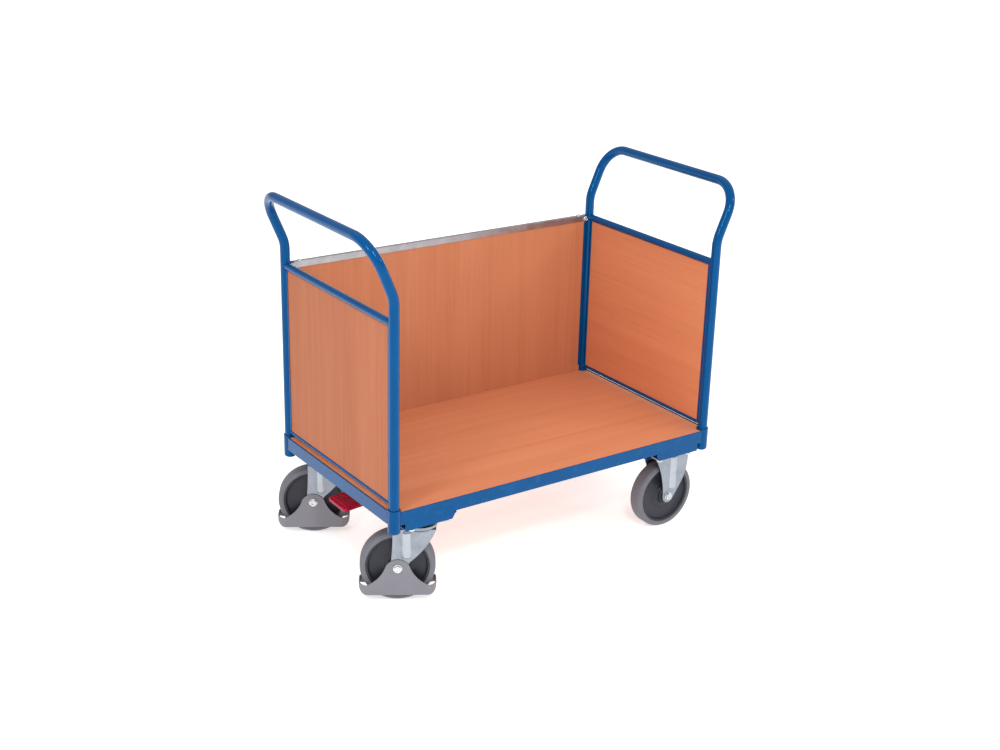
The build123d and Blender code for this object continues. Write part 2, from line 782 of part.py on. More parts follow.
def castor_base(x, y, angle):
    """Floor plane under a castor; local x is the direction it leads in."""
    direction = (cos(radians(angle)), sin(radians(angle)), 0)
    return Plane(origin=(x, y, 0), x_dir=direction, z_dir=(0, 0, 1))


swivel_places = [(-swivel_x, sy * castor_y) for sy in (-1, 1)]
fixed_places = [(fixed_x, sy * castor_y) for sy in (-1, 1)]

for sy, side in [(-1, "front"), (1, "back")]:
    swivel_name = side + "_swivel"
    square_base = castor_base(-swivel_x, sy * castor_y, 0)
    turned_base = castor_base(-swivel_x, sy * castor_y, swivel_angle)
    save(make_top_plate(square_base), swivel_name + "_plate")
    save(make_swivel_fork(turned_base), swivel_name + "_fork")
    save(make_guard(turned_base), swivel_name + "_guard")
    save(make_plunger(turned_base), swivel_name + "_brake_plunger")
    with BuildPart() as swivel_axle:
        add_axle(wheel_plane(turned_base, -swivel_trail), guard_outside)
    save(swivel_axle.part, swivel_name + "_axle")
    make_wheel(turned_base, -swivel_trail, swivel_name)

    fixed_name = side + "_fixed"
    fixed_base = castor_base(fixed_x, sy * castor_y, 0)
    save(make_fixed_fork(fixed_base), fixed_name + "_fork")
    make_wheel(fixed_base, 0, fixed_name)

with BuildPart() as fixed_axles:
    for sy in (-1, 1):
        add_axle(wheel_plane(castor_base(fixed_x, sy * castor_y, 0), 0), leg_outside)
save(fixed_axles.part, "fixed_axles")

flange_bottom = crown_bottom - kingpin_gap - kingpin_flange_thickness
with BuildPart() as kingpins:
    with BuildSketch(Plane.XY.offset(flange_bottom)):
        with Locations(*swivel_places):
            Circle(kingpin_flange / 2)
    extrude(amount=kingpin_flange_thickness)
    with BuildSketch(Plane.XY.offset(flange_bottom)):
        with Locations(*swivel_places):
            Circle(kingpin_diameter / 2)
    extrude(amount=castor_height - flange_bottom)
    with BuildSketch(Plane.XY.offset(flange_bottom)):
        with Locations(*swivel_places):
            Circle(plunger_diameter / 2 + plunger_gap)
    extrude(amount=castor_height - flange_bottom, mode=Mode.SUBTRACT)
save(kingpins.part, "kingpins")

with BuildPart() as swivel_balls:
    for place in swivel_places:
        with Locations((*place, (crown_top + race_top) / 2)):
            with PolarLocations(ball_circle, ball_count):
                Sphere(ball_diameter / 2)
save(swivel_balls.part, "swivel_balls")

bolt_end = plate_bottom - plate_nut_height - plate_bolt_end
with BuildPart() as castor_bolts:
    with BuildSketch(Plane.XY.offset(castor_height + bracket_sheet)):
        with Locations(*swivel_places, *fixed_places):
            with GridLocations(plate_hole_x, plate_hole_y, 2, 2):
                RegularPolygon(plate_nut_across / 2, 6, major_radius=False)
    extrude(amount=plate_bolt_head)
    with BuildSketch(Plane.XY.offset(bolt_end)):
        with Locations(*swivel_places, *fixed_places):
            with GridLocations(plate_hole_x, plate_hole_y, 2, 2):
                Circle(plate_bolt_diameter / 2)
    extrude(amount=castor_height + bracket_sheet - bolt_end)
save(castor_bolts.part, "castor_bolts")

with BuildPart() as castor_nuts:
    with BuildSketch(Plane.XY.offset(plate_bottom - plate_nut_height)):
        with Locations(*swivel_places, *fixed_places):
            with GridLocations(plate_hole_x, plate_hole_y, 2, 2):
                RegularPolygon(plate_nut_across / 2, 6, major_radius=False)
                Circle(plate_bolt_diameter / 2, mode=Mode.SUBTRACT)
    extrude(amount=plate_nut_height)
save(castor_nuts.part, "castor_nuts")

# ---- Central brake ----

shaft_half = castor_y + cam_width
with BuildPart() as brake_shaft:
    with BuildSketch(across(brake_shaft_x, brake_shaft_height, -shaft_half)):
        Circle(brake_shaft_diameter / 2)
    extrude(amount=2 * shaft_half)
    finger_length = brake_shaft_offset + cam_overreach
    for sy in (-1, 1):
        with BuildSketch(across(brake_shaft_x, brake_shaft_height, sy * castor_y - cam_width / 2)):
            with Locations((finger_length / 2, cam_thickness / 2 - cam_drop)):
                Rectangle(finger_length, cam_thickness)
        extrude(amount=cam_width)
save(brake_shaft.part, "brake_shaft")

slope_cos = cos(radians(pedal_slope))
slope_sin = sin(radians(pedal_slope))
tread_out = Vector(-slope_cos, 0, -slope_sin)
tread_up = Vector(-slope_sin, 0, slope_cos)
pedal_front = Vector(pedal_inset - face_x, 0, castor_height - pedal_drop)
pedal_plane = Plane(origin=pedal_front - tread_out * (pedal_depth / 2), x_dir=tread_out, z_dir=tread_up)

with BuildPart() as brake_pedal:
    with BuildSketch(pedal_plane.offset(-pedal_thickness)):
        RectangleRounded(pedal_depth, pedal_width, pedal_thickness)
    extrude(amount=pedal_thickness)
    rib_pitch = pedal_depth / (pedal_rib_count + 1)
    with BuildSketch(pedal_plane):
        with GridLocations(rib_pitch, 0, pedal_rib_count, 1):
            Rectangle(pedal_rib_width, pedal_width - 2 * pedal_thickness)
    extrude(amount=pedal_rib_height)
save(brake_pedal.part, "brake_pedal")

under_pedal = pedal_front - tread_up * (pedal_thickness + lever_thickness / 2)
lever_end = under_pedal - tread_out * lever_end_margin
lever_knee = under_pedal - tread_out * (pedal_depth + lever_knee_gap)


def lever_bar(start, end):
    """Straight stretch of the lever between two points, drawn in side view with round ends."""
    run = -(end.X - start.X)
    rise = end.Z - start.Z
    middle = (start + end) * 0.5
    with Locations(Location((-middle.X, middle.Z), degrees(atan2(rise, run)))):
        SlotCenterToCenter(hypot(run, rise), lever_thickness)


with BuildPart() as brake_lever:
    hub = Vector(brake_shaft_x, 0, brake_shaft_height)
    with BuildSketch(across(0, 0, -lever_width / 2)):
        lever_bar(hub, lever_knee)
        lever_bar(lever_knee, lever_end)
        with Locations((-hub.X, hub.Z)):
            Circle(lever_hub_diameter / 2)
            Circle(brake_shaft_diameter / 2, mode=Mode.SUBTRACT)
    extrude(amount=lever_width)
save(brake_lever.part, "brake_lever")
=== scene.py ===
"""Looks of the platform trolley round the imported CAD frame, in metres, floor at z = 0."""

import json
import math

import bmesh
import bpy
from mathutils import Matrix, Vector


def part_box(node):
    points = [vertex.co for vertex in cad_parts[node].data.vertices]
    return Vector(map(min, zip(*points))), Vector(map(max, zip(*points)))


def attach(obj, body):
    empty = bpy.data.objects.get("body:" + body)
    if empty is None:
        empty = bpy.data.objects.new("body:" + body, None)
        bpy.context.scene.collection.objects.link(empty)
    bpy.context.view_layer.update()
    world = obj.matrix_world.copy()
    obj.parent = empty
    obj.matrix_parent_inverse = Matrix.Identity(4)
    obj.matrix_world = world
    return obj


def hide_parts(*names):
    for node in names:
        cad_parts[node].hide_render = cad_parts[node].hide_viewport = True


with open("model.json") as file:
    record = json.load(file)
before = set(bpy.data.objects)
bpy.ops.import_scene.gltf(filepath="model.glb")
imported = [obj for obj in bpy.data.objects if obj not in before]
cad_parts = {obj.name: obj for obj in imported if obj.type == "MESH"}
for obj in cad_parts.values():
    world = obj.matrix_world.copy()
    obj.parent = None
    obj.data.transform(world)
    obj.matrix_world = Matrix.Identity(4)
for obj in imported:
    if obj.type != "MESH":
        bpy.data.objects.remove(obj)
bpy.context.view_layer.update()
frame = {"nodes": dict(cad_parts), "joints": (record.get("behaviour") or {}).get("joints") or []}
nodes = frame["nodes"]
MM = 0.001

# ---- Node tree helpers ----


def add(tree, kind, inputs=None, **settings):
    """One shader node; inputs are sockets to link or plain values."""
    made = tree.nodes.new("ShaderNode" + kind)
    for key, value in settings.items():
        setattr(made, key, value)
    for key, value in (inputs or {}).items():
        if isinstance(value, bpy.types.NodeSocket):
            tree.links.new(value, made.inputs[key])
        else:
            made.inputs[key].default_value = value
    return made


def start(name, **plain):
    """A principled material with plain values set, its tree, shader and object coordinates."""
    mat = bpy.data.materials.new(name)
    mat.use_nodes = True
    tree = mat.node_tree
    shader = tree.nodes["Principled BSDF"]
    for key, value in plain.items():
        shader.inputs[key.replace("_", " ")].default_value = value
    place = add(tree, "TexCoord").outputs["Object"]
    return mat, tree, shader, place


def noise(tree, place, scale, detail=3.0, rough=0.55, distortion=0.0):
    """Fractal noise, 0 to 1, over already placed coordinates."""
    sockets = {
        "Vector": place,
        "Scale": scale,
        "Detail": detail,
        "Roughness": rough,
        "Distortion": distortion,
    }
    return add(tree, "TexNoise", sockets).outputs["Fac"]


def stretch(tree, place, scale):
    """Coordinates scaled differently along each axis."""
    return add(tree, "Mapping", {"Vector": place, "Scale": scale}).outputs["Vector"]


def span(tree, value, low, high, to_low, to_high):
    """Map low..high of a value to to_low..to_high, clamped."""
    sockets = {
        "Value": value,
        "From Min": low,
        "From Max": high,
        "To Min": to_low,
        "To Max": to_high,
    }
    return add(tree, "MapRange", sockets).outputs["Result"]


def mix(tree, factor, a, b, blend="MIX"):
    """Mix two colours or colour sockets."""
    made = add(tree, "Mix", data_type="RGBA", blend_type=blend)
    for index, value in ((0, factor), (6, a), (7, b)):
        if isinstance(value, bpy.types.NodeSocket):
            tree.links.new(value, made.inputs[index])
        else:
            made.inputs[index].default_value = value
    return made.outputs[2]


def bump(tree, shader, height, distance, strength=1.0, below=None):
    """Bump the shader's normal by a height, over another bump if one is given."""
    sockets = {"Height": height, "Distance": distance, "Strength": strength}
    if below is not None:
        sockets["Normal"] = below
    normal = add(tree, "Bump", sockets).outputs["Normal"]
    tree.links.new(normal, shader.inputs["Normal"])
    return normal


def edges_mask(tree, low, high):
    """1 on outer edges and corners, from the mesh's own convexity."""
    sharp = add(tree, "NewGeometry").outputs["Pointiness"]
    return span(tree, sharp, low, high, 0.0, 1.0)


def along_axis(tree, place, axis, across, along):
    """Coordinates scaled by one factor along an axis and by another across it."""
    scale = [across] * 3
    scale["XYZ".index(axis)] = along
    return stretch(tree, place, tuple(scale))


def rgb(red, green, blue):
    """Linear colour with full alpha."""
    return (red, green, blue, 1.0)


# ---- Materials ----


def powder_coat(name, colour, light, dark):
    """Gloss powder coat: orange peel, faint cloudiness, rubbed edges and a few hairline scuffs."""
    tint = rgb(0.16, 0.56, 1.0)
    mat, tree, shader, place = start(name, Specular_IOR_Level=0.45, Specular_Tint=tint)
    cloud = noise(tree, place, 7.0, 4.0)
    tone = mix(tree, span(tree, cloud, 0.3, 0.7, 0.0, 1.0), dark, colour)
    speck = span(tree, noise(tree, place, 420.0, 2.0), 0.66, 0.74, 0.0, 0.25)
    tone = mix(tree, speck, tone, light)
    edge = edges_mask(tree, 0.53, 0.6)
    patches = span(tree, noise(tree, place, 34.0, 5.0, 0.7), 0.5, 0.68, 0.0, 0.55)
    worn = add(tree, "Math", {0: edge, 1: patches}, operation="MULTIPLY").outputs[0]
    tone = mix(tree, worn, tone, light)
    tree.links.new(tone, shader.inputs["Base Color"])
    hairline = noise(tree, stretch(tree, place, (900.0, 900.0, 14.0)), 1.0, 2.0)
    rough = span(tree, cloud, 0.3, 0.7, 0.11, 0.17)
    scuffed = span(tree, hairline, 0.62, 0.7, 0.0, 0.12)
    rough = add(tree, "Math", {0: rough, 1: scuffed}, operation="ADD").outputs[0]
    tree.links.new(rough, shader.inputs["Roughness"])
    peel = noise(tree, place, 620.0, 2.0)
    bump(tree, shader, peel, 0.00004, 0.35)
    return mat


def board(name, light, middle, dark, grain_axis, seed):
    """Beech decor board: broad bands, fine streaks and short dark ray flecks along the grain."""
    mat, tree, shader, place = start(name, Specular_IOR_Level=0.14)
    shift = (seed, seed * 0.7, seed * 0.4)
    place = add(tree, "Mapping", {"Vector": place, "Location": shift}).outputs["Vector"]

    def grain(across, along):
        """Coordinates drawn out along the grain."""
        return along_axis(tree, place, grain_axis, across, along)

    sway = noise(tree, place, 1.6, 2.0)
    bands = noise(tree, grain(7.0, 0.55), 1.0, 3.0, 0.5, 0.9)
    streaks = noise(tree, grain(150.0, 2.6), 1.0, 6.0, 0.62)
    figure = noise(tree, grain(26.0, 1.1), 1.0, 4.0, 0.6, 0.5)
    tone = mix(tree, span(tree, bands, 0.3, 0.7, 0.0, 1.0), middle, light)
    tone = mix(tree, span(tree, figure, 0.46, 0.72, 0.0, 0.28), tone, dark)
    tone = mix(tree, span(tree, streaks, 0.42, 0.7, 0.0, 0.22), tone, dark)
    flecks = noise(tree, grain(620.0, 62.0), 1.0, 2.0, 0.5)
    tone = mix(tree, span(tree, flecks, 0.66, 0.72, 0.0, 0.32), tone, dark)
    tone = mix(tree, span(tree, sway, 0.35, 0.65, 0.0, 0.16), tone, light)
    tree.links.new(tone, shader.inputs["Base Color"])
    rough = span(tree, streaks, 0.3, 0.7, 0.42, 0.56)
    tree.links.new(rough, shader.inputs["Roughness"])
    under = bump(tree, shader, streaks, 0.00012, 0.35)
    bump(tree, shader, flecks, 0.00008, 0.3, under)
    return mat


def zinc(name, colour, dark, brush_axis, low_rough, high_rough):
    """Zinc plated steel: cloudy passivation, a faint rolling direction and handling marks."""
    mat, tree, shader, place = start(name, Metallic=1.0)
    cloud = noise(tree, place, 26.0, 5.0, 0.6)
    rolled = noise(tree, along_axis(tree, place, brush_axis, 700.0, 18.0), 1.0, 3.0)
    tone = mix(tree, span(tree, cloud, 0.32, 0.68, 0.0, 1.0), dark, colour)
    tone = mix(tree, span(tree, rolled, 0.45, 0.7, 0.0, 0.25), tone, dark)
    marks = noise(tree, place, 160.0, 4.0, 0.7)
    tone = mix(tree, span(tree, marks, 0.66, 0.74, 0.0, 0.4), tone, rgb(0.25, 0.26, 0.28))
    tree.links.new(tone, shader.inputs["Base Color"])
    rough = span(tree, cloud, 0.3, 0.7, low_rough, high_rough)
    lines = span(tree, rolled, 0.4, 0.7, 0.0, 0.08)
    rough = add(tree, "Math", {0: rough, 1: lines}, operation="ADD").outputs[0]
    tree.links.new(rough, shader.inputs["Roughness"])
    under = bump(tree, shader, rolled, 0.00003, 0.4)
    bump(tree, shader, cloud, 0.0002, 0.15, under)
    return mat


def moulded(name, colour, light, low_rough, high_rough, grain=900.0, depth=0.00006, **plain):
    """Moulded plastic or rubber: fine grain, flow clouding, paler rubbed edges."""
    mat, tree, shader, place = start(name, **plain)
    cloud = noise(tree, place, 18.0, 5.0, 0.6)
    tone = mix(tree, span(tree, cloud, 0.3, 0.7, 0.0, 0.3), colour, light)
    rubbed = edges_mask(tree, 0.52, 0.6)
    tone = mix(tree, span(tree, rubbed, 0.0, 1.0, 0.0, 0.35), tone, light)
    dust = span(tree, noise(tree, place, 240.0, 4.0, 0.7), 0.6, 0.75, 0.0, 0.3)
    tone = mix(tree, dust, tone, light)
    tree.links.new(tone, shader.inputs["Base Color"])
    tree.links.new(span(tree, cloud, 0.3, 0.7, low_rough, high_rough), shader.inputs["Roughness"])
    bump(tree, shader, noise(tree, place, grain, 3.0), depth, 0.6)
    return mat


BLUE = powder_coat(
    "blue_steel",
    rgb(0.0003, 0.057, 0.195),
    rgb(0.01, 0.1, 0.27),
    rgb(0.0003, 0.048, 0.168),
)
DECK = board(
    "deck_wood", rgb(0.7, 0.26, 0.13), rgb(0.63, 0.225, 0.109), rgb(0.5, 0.16, 0.072), "X", 0.0
)
WALL = board(
    "wall_wood",
    rgb(0.545, 0.205, 0.1),
    rgb(0.49, 0.172, 0.081),
    rgb(0.385, 0.122, 0.053),
    "Z",
    3.1,
)
# lit copy of the wall board, brighter to paint in light on the right end panel
WALL_ACROSS_PAINTED_LIT = board(
    "wall_wood_across_painted_lit",
    rgb(0.68, 0.245, 0.12),
    rgb(0.62, 0.212, 0.1),
    rgb(0.49, 0.15, 0.066),
    "Y",
    5.7,
)
# shaded copy of the wall board, darker to paint in shade on the left end panel
WALL_LEFT_PAINTED_SHADE = board(
    "wall_wood_left_painted_shade",
    rgb(0.44, 0.146, 0.066),
    rgb(0.395, 0.123, 0.053),
    rgb(0.315, 0.09, 0.036),
    "Z",
    8.3,
)
ZINC = zinc("zinc_steel", rgb(0.31, 0.34, 0.385), rgb(0.22, 0.245, 0.28), "Z", 0.26, 0.38)
# lighter copy of the fork zinc, painted light on the raised leg ribs
ZINC_RIB_PAINTED_LIGHT = zinc("zinc_rib_painted_light", rgb(0.43, 0.46, 0.5), rgb(0.34, 0.37, 0.41), "Z", 0.22, 0.32)
ZINC_BRIGHT = zinc("zinc_bright", rgb(0.66, 0.68, 0.71), rgb(0.5, 0.52, 0.55), "Z", 0.14, 0.24)
STRIP = zinc("bare_steel", rgb(0.46, 0.45, 0.47), rgb(0.32, 0.31, 0.33), "X", 0.3, 0.42)
BEARING = zinc("bearing_steel", rgb(0.6, 0.6, 0.6), rgb(0.5, 0.5, 0.5), "Z", 0.2, 0.3)
BLACK = moulded("black_steel", rgb(0.008, 0.008, 0.01), rgb(0.03, 0.03, 0.034), 0.35, 0.5)
TYRE = moulded(
    "grey_tyre",
    rgb(0.13, 0.13, 0.152),
    rgb(0.17, 0.17, 0.195),
    0.5,
    0.66,
    grain=500.0,
    depth=0.0001,
    Specular_IOR_Level=0.3,
)
RIM = moulded(
    "dark_rim",
    rgb(0.016, 0.017, 0.026),
    rgb(0.03, 0.031, 0.042),
    0.36,
    0.46,
    Specular_IOR_Level=0.35,
)
GUARD = moulded("grey_guard", rgb(0.162, 0.16, 0.185), rgb(0.215, 0.213, 0.24), 0.36, 0.48)
PEDAL = moulded(
    "red_pedal",
    rgb(0.34, 0.0003, 0.024),
    rgb(0.4, 0.004, 0.038),
    0.22,
    0.32,
    Specular_IOR_Level=0.25,
)

# the record's material slots
MATERIALS = {
    "blue_steel": BLUE,
    "deck_wood": DECK,
    "wall_wood": WALL,
    "zinc_steel": ZINC,
    "bare_steel": STRIP,
    "black_steel": BLACK,
    "grey_tyre": TYRE,
    "dark_rim": RIM,
    "grey_guard": GUARD,
    "red_pedal": PEDAL,
    "bearing_steel": BEARING,
}

# end panels given lit and shaded copies of the back wall's board: painted light on the right
# panel, painted shade on the left
PANEL_PAINTED_LIGHT_BOARDS = {"right_panel": WALL_ACROSS_PAINTED_LIT, "left_panel": WALL_LEFT_PAINTED_SHADE}

# ---- CAD nodes: finer edges and the procedural materials ----

USUAL_ROUND = 0.5
EDGE_ROUND = {"brake_lever": 1.2, "back_top_rail": 0.35, "swivel_balls": 0.0}
for side in ("front", "back"):
    EDGE_ROUND[side + "_swivel_guard"] = 1.3
    EDGE_ROUND[side + "_swivel_fork"] = 1.1
    EDGE_ROUND[side + "_fixed_fork"] = 1.1
    EDGE_ROUND[side + "_rail"] = 0.25
    for end in ("left", "right"):
        EDGE_ROUND[side + "_" + end + "_castor_bracket"] = 0.25
for end in ("left", "right"):
    EDGE_ROUND[end + "_rail"] = 0.25
    EDGE_ROUND[end + "_hoop"] = 0.3
for channels in ("back_end_channels", "panel_channels"):
    EDGE_ROUND[channels] = 0.35
WELD_DISTANCE = 0.00001
SHARP_ANGLE = math.radians(32)


def soften(obj, width):
    """Weld the CAD mesh, round its edges by a width in millimetres and even out its shading."""
    weld = obj.modifiers.new("weld", "WELD")
    weld.merge_threshold = WELD_DISTANCE
    if width:
        bevel = obj.modifiers.new("bevel", "BEVEL")
        bevel.width = width * MM
        bevel.segments = 2
        bevel.limit_method = "ANGLE"
        bevel.angle_limit = SHARP_ANGLE
        bevel.harden_normals = False
    weighted = obj.modifiers.new("weighted", "WEIGHTED_NORMAL")
    weighted.keep_sharp = False


for name, obj in nodes.items():
    slot_name = obj.data.materials[0].name.split(".")[0]
    material = PANEL_PAINTED_LIGHT_BOARDS.get(name, MATERIALS[slot_name])
    for index in range(len(obj.material_slots)):
        obj.material_slots[index].link = "OBJECT"
        obj.material_slots[index].material = material
    soften(obj, EDGE_ROUND.get(name, USUAL_ROUND))

# ---- Mesh helpers for new pieces ----

HEX_CHAMFER = 0.35  # the least depth of a hexagon's chamfer, in millimetres
HEX_FACE = 0.95  # the flat face's radius as a share of half the width across flats


def piece(name, mesh_source, material, body):
    """Turn a bmesh into an object that rides on a CAD body."""
    bmesh.ops.recalc_face_normals(mesh_source, faces=mesh_source.faces)
    mesh = bpy.data.meshes.new(name)
    mesh_source.to_mesh(mesh)
    mesh_source.free()
    for face in mesh.polygons:
        face.use_smooth = True
    obj = bpy.data.objects.new(name, mesh)
    bpy.context.scene.collection.objects.link(obj)
    mesh.materials.append(material)
    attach(obj, body)
    return obj


def frame_on(axis):
    """Two unit vectors square to an axis."""
    helper = Vector((0, 0, 1)) if abs(axis.z) < 0.9 else Vector((1, 0, 0))
    side = axis.cross(helper).normalized()
    return side, axis.cross(side).normalized()


def round_way(side, up, turn):
    """Unit vector at a turn between two square unit vectors."""
    return side * math.cos(turn) + up * math.sin(turn)


def middle(name):
    """Centre of a CAD node's box."""
    low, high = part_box(name)
    return (low + high) / 2


def lathe(bm, profile, centre, axis, segments, closed=False):
    """Turn a profile of (radius, distance along the axis) in millimetres round an axis."""
    axis = Vector(axis).normalized()
    side, up = frame_on(axis)
    rings = []
    for radius, along in profile:
        if radius < 1e-6:
            rings.append([bm.verts.new(centre + axis * (along * MM))])
            continue
        ring = []
        for step in range(segments):
            out = round_way(side, up, 2 * math.pi * step / segments)
            ring.append(bm.verts.new(centre + out * (radius * MM) + axis * (along * MM)))
        rings.append(ring)
    pairs = list(zip(rings, rings[1:]))
    if closed:
        pairs.append((rings[-1], rings[0]))
    for a, b in pairs:
        for step in range(segments):
            after = (step + 1) % segments
            if len(a) == 1:
                bm.faces.new((a[0], b[step], b[after]))
            elif len(b) == 1:
                bm.faces.new((a[step], b[0], a[after]))
            else:
                bm.faces.new((a[step], b[step], b[after], a[after]))


def hexagon(bm, across, base, top, centre, axis, bore=0.0, segments=48):
    """Hexagon head or nut with a round chamfer on its outer face, closed or with a bore."""
    axis = Vector(axis).normalized()
    side, up = frame_on(axis)
    inner = across / 2
    slope = math.tan(math.radians(30))
    levels = ("base", "corner", "face", "bore" if bore else "tip")
    rings = []
    for level in levels:
        if level == "tip":
            rings.append([bm.verts.new(centre + axis * (top * MM))])
            continue
        ring = []
        for step in range(segments):
            turn = 2 * math.pi * step / segments
            off_flat = (turn + math.pi / 6) % (math.pi / 3) - math.pi / 6
            reach = inner / math.cos(off_flat)
            radius, along = {
                "base": (reach, base),
                "corner": (reach, top - ((reach - inner) * slope + HEX_CHAMFER)),
                "face": (inner * HEX_FACE, top),
                "bore": (bore, top),
            }[level]
            out = round_way(side, up, turn)
            ring.append(bm.verts.new(centre + out * (radius * MM) + axis * (along * MM)))
        rings.append(ring)
    for a, b in zip(rings, rings[1:]):
        for step in range(segments):
            after = (step + 1) % segments
            if len(b) == 1:
                bm.faces.new((a[step], a[after], b[0]))
            else:
                bm.faces.new((a[step], a[after], b[after], b[step]))
    bm.faces.new(rings[0])


def arc(centre_r, centre_a, radius, start_deg, end_deg, steps):
    """Points of an arc in profile space; 0 degrees points outwards, 90 along the axis."""
    points = []
    for step in range(steps + 1):
        turn = math.radians(start_deg + (end_deg - start_deg) * step / steps)
        points.append((centre_r + radius * math.cos(turn), centre_a + radius * math.sin(turn)))
    return points


def bead(bm, path, radius, closed):
    """Weld bead: a rippled tube along points; open beads taper to rounded ends."""
    sides = 8
    ripple = 0.14
    ripple_step = 2.1
    count = len(path)
    rings = []
    for index, point in enumerate(path):
        before = path[index - 1] if closed or index else point
        after = path[(index + 1) % count] if closed or index < count - 1 else point
        direction = (after - before).normalized()
        side, up = frame_on(direction)
        wave = 1.0 + ripple * math.sin(index * ripple_step)
        if not closed:
            fade = min(index, count - 1 - index) / 2.0
            wave *= min(1.0, 0.35 + 0.4 * fade)
        ring = []
        for step in range(sides):
            out = round_way(side, up, 2 * math.pi * step / sides)
            ring.append(bm.verts.new(point + out * (radius * wave)))
        rings.append(ring)
    pairs = list(zip(rings, rings[1:]))
    if closed:
        pairs.append((rings[-1], rings[0]))
    else:
        bm.faces.new(rings[0])
        bm.faces.new(rings[-1])
    for a, b in pairs:
        for step in range(sides):
            after = (step + 1) % sides
            bm.faces.new((a[step], b[step], b[after], a[after]))


def skin_rows(bm, rows):
    """Faces between neighbouring rows of points."""
    for a, b in zip(rows, rows[1:]):
        for column in range(len(a) - 1):
            bm.faces.new((a[column], a[column + 1], b[column + 1], b[column]))


# ---- Wheels ----

SWIVELS = ("front_swivel", "back_swivel")
FIXED = ("front_fixed", "back_fixed")
UP = Vector((0, 0, 1))
roll_axis = {joint["child"]: Vector(joint["axis"]) for joint in frame["joints"]}


def wheel_place(castor):
    """Middle of a castor's wheel, and the unit vector along its axle."""
    return middle(castor + "_tyre"), roll_axis[castor + "_wheel"].normalized()


def mirrored(half):
    """A closed profile from its half on the positive side."""
    return half + [(radius, -along) for radius, along in reversed(half)]


# half profiles of (radius, distance from the wheel's middle plane) in millimetres
TYRE_HALF = (
    [(84.5, 0.0), (84.5, 20.6), (85.2, 21.9), (86.6, 22.4), (87.6, 21.9), (88.6, 22.1)]
    + arc(89.2, 12.2, 10.8, 84, 8, 9)
    + [(100.0, 8.0), (100.0, 3.0)]
)
RIM_HALF = [
    (84.5, 19.9),
    (83.6, 20.6),
    (80.6, 20.6),
    (78.8, 19.8),
    (77.9, 17.8),
    (77.4, 13.8),
    (76.2, 11.8),
    (73.6, 11.0),
    (46.0, 11.0),
    (42.8, 11.6),
    (40.6, 13.4),
    (38.4, 14.8),
    (36.0, 15.2),
    (31.0, 15.4),
    (28.2, 16.6),
    (26.8, 19.4),
    (25.9, 26.9),
    (24.9, 28.3),
    (21.6, 28.4),
    (21.0, 27.6),
    (18.8, 27.6),
    (18.2, 28.4),
    (17.6, 28.2),
    (17.5, 16.6),
    (14.5, 16.4),
]
BEARING_PROFILE = [
    (6.1, 28.4),
    (8.6, 28.4),
    (9.0, 27.7),
    (14.6, 27.5),
    (15.0, 28.4),
    (17.3, 28.4),
    (17.4, 16.6),
    (6.1, 16.6),
]

for castor in SWIVELS + FIXED:
    hub, axis = wheel_place(castor)
    body = castor + "_wheel"
    bm = bmesh.new()
    lathe(bm, mirrored(TYRE_HALF), hub, axis, 144, closed=True)
    tyre = piece(castor + "_tyre_shaped", bm, TYRE, body)
    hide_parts(castor + "_tyre")
    bm = bmesh.new()
    lathe(bm, mirrored(RIM_HALF), hub, axis, 112, closed=True)
    rim = piece(castor + "_rim_shaped", bm, RIM, body)
    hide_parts(castor + "_rim")
    bm = bmesh.new()
    for sign in (-1, 1):
        ring = [(radius, sign * along) for radius, along in BEARING_PROFILE]
        lathe(bm, ring, hub, axis, 64, closed=True)
    bearings = piece(castor + "_bearings_shaped", bm, BEARING, body)
    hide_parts(castor + "_bearings")

# ---- Axle bolts ----

# from the wheel's middle to the face under the bolt's head, in millimetres
SWIVEL_GRIP = 37.0
FIXED_GRIP = 34.0
AXLE_ACROSS = 18.6
AXLE_RADIUS = 6.0


def axle_bolt(bm, hub, axis, grip):
    """Flanged bolt with a dished hexagon head, nylon ring nut and a short thread end."""
    head = hub - axis * (grip * MM)
    lathe(bm, [(0, 0), (12.4, 0), (12.4, 0.9), (11.6, 1.5), (0, 1.5)], head, -axis, 48)
    hexagon(bm, AXLE_ACROSS, 1.4, 6.8, head, -axis, bore=5.2)
    lathe(bm, [(5.2, 6.8), (4.7, 6.0), (0, 5.7)], head, -axis, 32)
    nut = hub + axis * (grip * MM)
    lathe(bm, [(0, 0), (10.8, 0), (10.8, 1.2), (10.2, 1.6), (0, 1.6)], nut, axis, 48)
    hexagon(bm, AXLE_ACROSS, 1.5, 7.4, nut, axis)
    lathe(bm, [(7.6, 7.2), (7.6, 8.4), (7.0, 9.0), (5.6, 9.0), (5.4, 8.0)], nut, axis, 48)
    lathe(bm, [(5.9, 7.0), (5.9, 10.2), (5.2, 10.7), (0, 10.7)], nut, axis, 48)
    lathe(bm, [(AXLE_RADIUS, -grip), (AXLE_RADIUS, grip)], hub, axis, 32)


for castor in SWIVELS:
    bm = bmesh.new()
    axle_bolt(bm, *wheel_place(castor), SWIVEL_GRIP)
    bolt = piece(castor + "_axle_bolt", bm, ZINC_BRIGHT, castor)
    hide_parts(castor + "_axle")

bm = bmesh.new()
for castor in FIXED:
    axle_bolt(bm, *wheel_place(castor), FIXED_GRIP)
bolts = piece("fixed_axle_bolts", bm, ZINC_BRIGHT, "trolley")
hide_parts("fixed_axles")

# ---- Weld beads at the crossbars ----

HOOP_RADIUS = 13.45 * MM
BAR_BEAD = 1.5 * MM
BAR_BEAD_STEPS = 40

